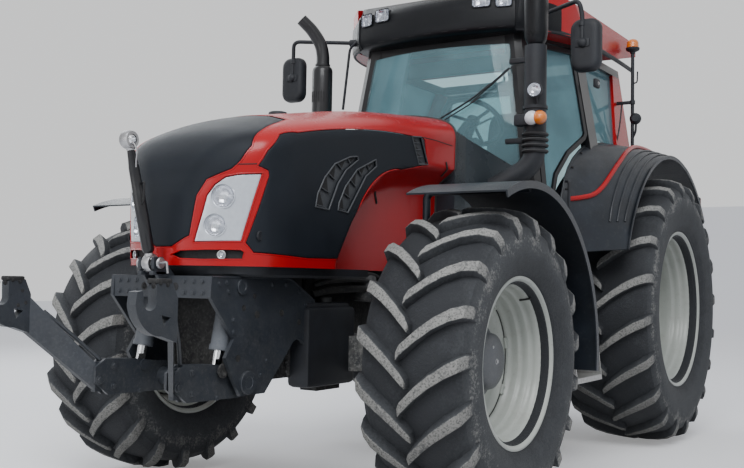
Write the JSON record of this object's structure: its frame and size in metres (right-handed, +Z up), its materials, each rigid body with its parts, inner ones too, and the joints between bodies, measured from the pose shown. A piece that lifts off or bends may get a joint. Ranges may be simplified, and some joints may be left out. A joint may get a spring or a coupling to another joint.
{
  "type": "farm tractor",
  "caption": "Row-crop farm tractor with a glazed cab, sloping hood, lugged tyres, front linkage with hooks and rear linkage.",
  "frame": {"origin": "on the ground under the middle of the bounding box", "axes": "+Y to the rear, +X to the tractor's left, +Z up; the tractor drives towards -Y"},
  "size_m": [2.51, 5.4369, 2.9524],
  "materials": {
    "tyre": "dusty",
    "rim_paint": "satin",
    "red_paint": "glossy",
    "dark_plastic": "satin",
    "dark_iron": "satin",
    "black_paint": "satin",
    "cab_glass": "clear",
    "lamp_shell": "glossy",
    "steel": "brushed",
    "seat_cloth": "woven"
  },
  "bodies": {
    "chassis": {"engine": "dark_iron", "transmission": "dark_iron", "front_support": "dark_iron", "cowl": "dark_plastic", "cab_frame": "black_paint", "rear_posts": "red_paint", "cab_floor": "dark_plastic", "fixed_glass": "cab_glass", "roof": "red_paint", "roof_visor": "dark_plastic", "rear_fenders": "dark_plastic", "fender_mouldings": "red_paint", "seat_cushion": "seat_cloth", "seat_back": "seat_cloth", "dashboard": "dark_plastic", "exhaust": "black_paint", "intake_duct": "dark_plastic", "mirrors": "dark_plastic", "lamp_post": "dark_plastic", "side_tanks": "dark_plastic", "steps": "steel", "lamps": "lamp_shell", "linkage_frame": "dark_iron", "hitch_frame": "dark_iron", "drawbar": "dark_iron"},
    "axle": {"front_axle_beam": "dark_iron"},
    "knuckle_left": {"knuckle_left": "dark_iron", "front_fender_left": "dark_plastic"},
    "knuckle_right": {"knuckle_right": "dark_iron", "front_fender_right": "dark_plastic"},
    "wheel_front_left": {"front_tyre_left": "tyre", "front_rim_left": "rim_paint"},
    "wheel_front_right": {"front_tyre_right": "tyre", "front_rim_right": "rim_paint"},
    "wheel_rear_left": {"rear_tyre_left": "tyre", "rear_rim_left": "rim_paint"},
    "wheel_rear_right": {"rear_tyre_right": "tyre", "rear_rim_right": "rim_paint"},
    "hood": {"hood_frame": "red_paint", "hood_panels": "dark_plastic", "head_lamps": "lamp_shell"},
    "door_left": {"door_frame_left": "black_paint", "door_glass_left": "cab_glass"},
    "door_right": {"door_frame_right": "black_paint", "door_glass_right": "cab_glass"},
    "rear_window": {"rear_window_frame": "black_paint", "rear_window_glass": "cab_glass"},
    "steering_wheel": {"steering_wheel": "dark_plastic"},
    "front_arms": {"lift_arms": "dark_iron", "hook_links": "dark_iron"},
    "front_barrels": {"lift_barrels": "steel"},
    "front_bars": {"lift_bars": "steel"},
    "front_top_link": {"front_top_link": "steel"},
    "pto": {"pto_shaft": "steel"},
    "rear_arms": {"rocker_arms": "dark_iron"},
    "rear_rod_left": {"lift_rod_rear_left": "dark_iron"},
    "rear_rod_right": {"lift_rod_rear_right": "dark_iron"},
    "rear_link_left": {"lower_link_left": "dark_iron"},
    "rear_link_right": {"lower_link_right": "dark_iron"},
    "rear_top_link": {"rear_top_link": "steel"}
  },
  "joints": [
    {"name": "axle_oscillation", "type": "hinge", "parent": "chassis", "child": "axle", "pos_m": [0, -1.1215, 0.7], "axis": [0, 1, 0], "range_deg": [-7, 7]},
    {"name": "steer_left", "type": "hinge", "parent": "axle", "child": "knuckle_left", "pos_m": [0.74, -1.1215, 0.7], "axis": [0, 0, 1], "range_deg": [-28, 28]},
    {"name": "wheel_front_left", "type": "hinge", "parent": "knuckle_left", "child": "wheel_front_left", "pos_m": [0.968, -1.1215, 0.7], "axis": [1, 0, 0], "continuous": true},
    {"name": "wheel_rear_left", "type": "hinge", "parent": "chassis", "child": "wheel_rear_left", "pos_m": [0.868, 1.6265, 0.9], "axis": [1, 0, 0], "continuous": true},
    {"name": "steer_right", "type": "hinge", "parent": "axle", "child": "knuckle_right", "pos_m": [-0.74, -1.1215, 0.7], "axis": [0, 0, 1], "range_deg": [-28, 28]},
    {"name": "wheel_front_right", "type": "hinge", "parent": "knuckle_right", "child": "wheel_front_right", "pos_m": [-0.968, -1.1215, 0.7], "axis": [1, 0, 0], "continuous": true},
    {"name": "wheel_rear_right", "type": "hinge", "parent": "chassis", "child": "wheel_rear_right", "pos_m": [-0.868, 1.6265, 0.9], "axis": [1, 0, 0], "continuous": true},
    {"name": "steering_wheel_turn", "type": "hinge", "parent": "chassis", "child": "steering_wheel", "pos_m": [0, 0.7065, 2.13], "axis": [0, 0.6157, 0.788], "range_deg": [-560, 560]},
    {"name": "hood_hinge", "type": "hinge", "parent": "chassis", "child": "hood", "pos_m": [0, -0.3635, 1.965], "axis": [-1, 0, 0], "range_deg": [0, 58]},
    {"name": "door_hinge_left", "type": "hinge", "parent": "chassis", "child": "door_left", "pos_m": [0.82298, 0.7065, 1.9], "axis": [-0.1736, 0, 0.9848], "range_deg": [0, 75]},
    {"name": "door_hinge_right", "type": "hinge", "parent": "chassis", "child": "door_right", "pos_m": [-0.82298, 0.7065, 1.9], "axis": [-0.1736, 0, -0.9848], "range_deg": [0, 75]},
    {"name": "rear_window_hinge", "type": "hinge", "parent": "chassis", "child": "rear_window", "pos_m": [0, 1.5685, 2.504], "axis": [1, 0, 0], "range_deg": [0, 40]},
    {"name": "front_lift", "type": "hinge", "parent": "chassis", "child": "front_arms", "pos_m": [0, -1.9335, 0.615], "axis": [-1, 0, 0], "range_deg": [-50, 6]},
    {"name": "front_barrel_swing", "type": "hinge", "parent": "chassis", "child": "front_barrels", "pos_m": [0, -1.9785, 1.02], "axis": [-1, 0, 0], "range_deg": [-2.5, 1.5]},
    {"name": "front_bar_slide", "type": "slide", "parent": "front_barrels", "child": "front_bars", "axis": [0, -0.2095, -0.9778], "range_m": [-0.016, 0.114]},
    {"name": "front_top_link_pivot", "type": "hinge", "parent": "chassis", "child": "front_top_link", "pos_m": [0, -2.2235, 1.112], "axis": [1, 0, 0], "range_deg": [0, 65]},
    {"name": "rear_lift", "type": "hinge", "parent": "chassis", "child": "rear_arms", "pos_m": [0, 1.9565, 1.24], "axis": [1, 0, 0], "range_deg": [-34, 46]},
    {"name": "rear_link_pivot_left", "type": "hinge", "parent": "chassis", "child": "rear_link_left", "pos_m": [0.3, 1.7765, 0.66], "axis": [1, 0, 0], "range_deg": [-20.89, 27.91]},
    {"name": "rear_rod_pivot_left", "type": "hinge", "parent": "rear_arms", "child": "rear_rod_left", "pos_m": [0.268, 2.2365, 1.275], "axis": [1, 0, 0], "range_deg": [-43.32, 32.28]},
    {"name": "rear_link_pivot_right", "type": "hinge", "parent": "chassis", "child": "rear_link_right", "pos_m": [-0.3, 1.7765, 0.66], "axis": [1, 0, 0], "range_deg": [-20.89, 27.91]},
    {"name": "rear_rod_pivot_right", "type": "hinge", "parent": "rear_arms", "child": "rear_rod_right", "pos_m": [-0.268, 2.2365, 1.275], "axis": [1, 0, 0], "range_deg": [-43.32, 32.28]},
    {"name": "rear_top_link_pivot", "type": "hinge", "parent": "chassis", "child": "rear_top_link", "pos_m": [0, 2.0265, 1.01], "axis": [-1, 0, 0], "range_deg": [-34, 36]},
    {"name": "pto_turn", "type": "hinge", "parent": "chassis", "child": "pto", "pos_m": [0, 1.8965, 0.7], "axis": [0, 1, 0], "continuous": true}
  ],
  "couplings": [
    {"joint": "steer_right", "follows": "steer_left", "ratio": 1},
    {"joint": "steering_wheel_turn", "follows": "steer_left", "ratio": 20},
    {"joint": "front_barrel_swing", "follows": "front_lift", "ratio": 0.03},
    {"joint": "front_bar_slide", "follows": "front_lift", "m_per_rad": -0.12548},
    {"joint": "rear_link_pivot_left", "follows": "rear_lift", "ratio": 0.585},
    {"joint": "rear_rod_pivot_left", "follows": "rear_lift", "ratio": -0.92},
    {"joint": "rear_link_pivot_right", "follows": "rear_lift", "ratio": 0.585},
    {"joint": "rear_rod_pivot_right", "follows": "rear_lift", "ratio": -0.92}
  ]
}
